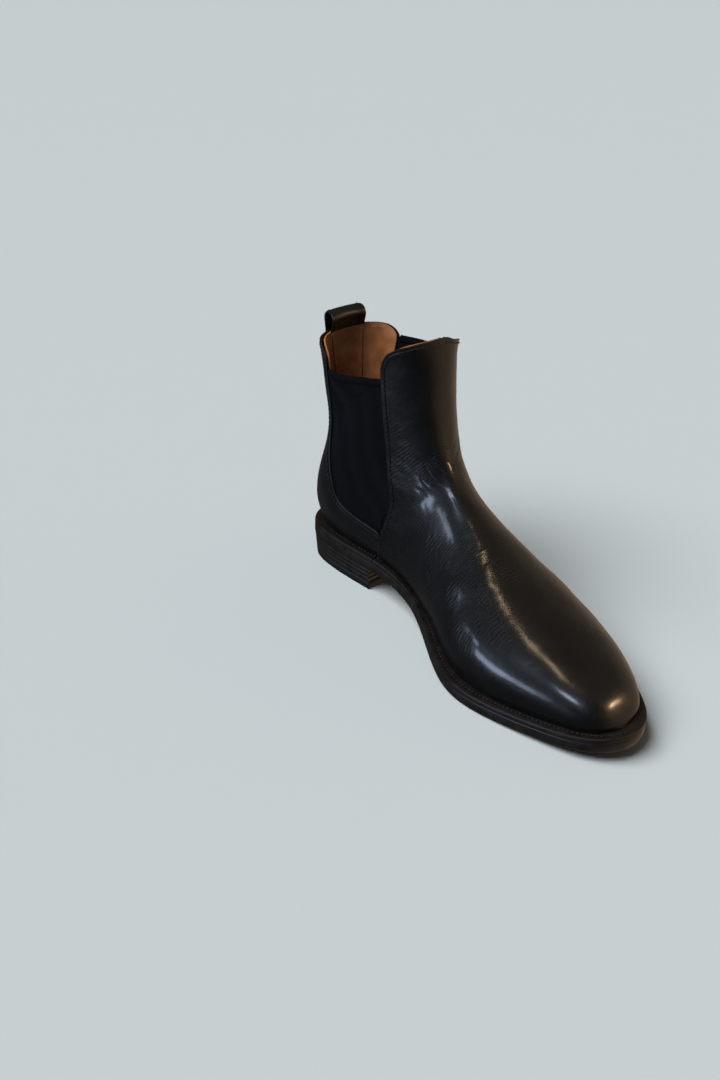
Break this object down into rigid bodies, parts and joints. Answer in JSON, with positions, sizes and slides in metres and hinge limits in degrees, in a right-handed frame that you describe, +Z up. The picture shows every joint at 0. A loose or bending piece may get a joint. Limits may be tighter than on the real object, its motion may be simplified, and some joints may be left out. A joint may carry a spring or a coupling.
{
  "type": "chelsea boot",
  "caption": "Ankle-high slip-on leather boot for the left foot, with elastic side gores, a standing pull loop, a welted sole and a low stacked heel.",
  "frame": {"origin": "on the floor, under the middle of the boot's box", "axes": "+Y from the toe to the heel, +X to the wearer's outer side, +Z up"},
  "size_m": [0.1122, 0.3062, 0.1936],
  "materials": {
    "calf": "smooth black box calf, semi-gloss",
    "loop_calf": "black calf strap, folded and stitched",
    "gore": "ribbed woven elastic, blue-black",
    "tape": "woven binding tape",
    "lining": "tan lining leather, matt",
    "stiffener": "leather board",
    "insole_board": "vegetable-tanned shoulder",
    "cork": "granulated cork",
    "sole_leather": "sole leather, inked and waxed edge",
    "top_piece": "moulded rubber",
    "steel": "spring steel strip",
    "nail": "drawn brass"
  },
  "bodies": {
    "boot": {"vamp": "calf", "quarter_medial": "calf", "quarter_lateral": "calf", "backstay": "calf", "pull_loop_inner_tail": "loop_calf", "pull_loop_outer_tail": "loop_calf", "gore_medial": "gore", "gore_lateral": "gore", "gore_binding_medial": "tape", "gore_binding_lateral": "tape", "vamp_lining": "lining", "quarter_lining_medial": "lining", "quarter_lining_lateral": "lining", "back_lining_band": "lining", "sock_lining": "lining", "toe_puff": "stiffener", "heel_counter": "stiffener", "insole": "insole_board", "insole_rib": "insole_board", "cork_filler_forefoot": "cork", "cork_filler_waist": "cork", "shank": "steel", "welt": "sole_leather", "heel_rand": "sole_leather", "outsole": "sole_leather", "heel_lift_1": "sole_leather", "heel_lift_2": "sole_leather", "heel_lift_3": "sole_leather", "top_piece": "top_piece", "heel_nail_1": "nail", "heel_nail_2": "nail", "heel_nail_3": "nail", "heel_nail_4": "nail", "heel_nail_5": "nail"},
    "pull_loop": {"pull_loop": "loop_calf"}
  },
  "joints": [
    {"name": "pull_loop_flex", "type": "hinge", "parent": "boot", "child": "pull_loop", "pos_m": [0.0023, 0.1473, 0.1678], "axis": [1, 0, 0], "range_deg": [-30, 30], "stiffness_Nm_per_rad": 0.02}
  ]
}
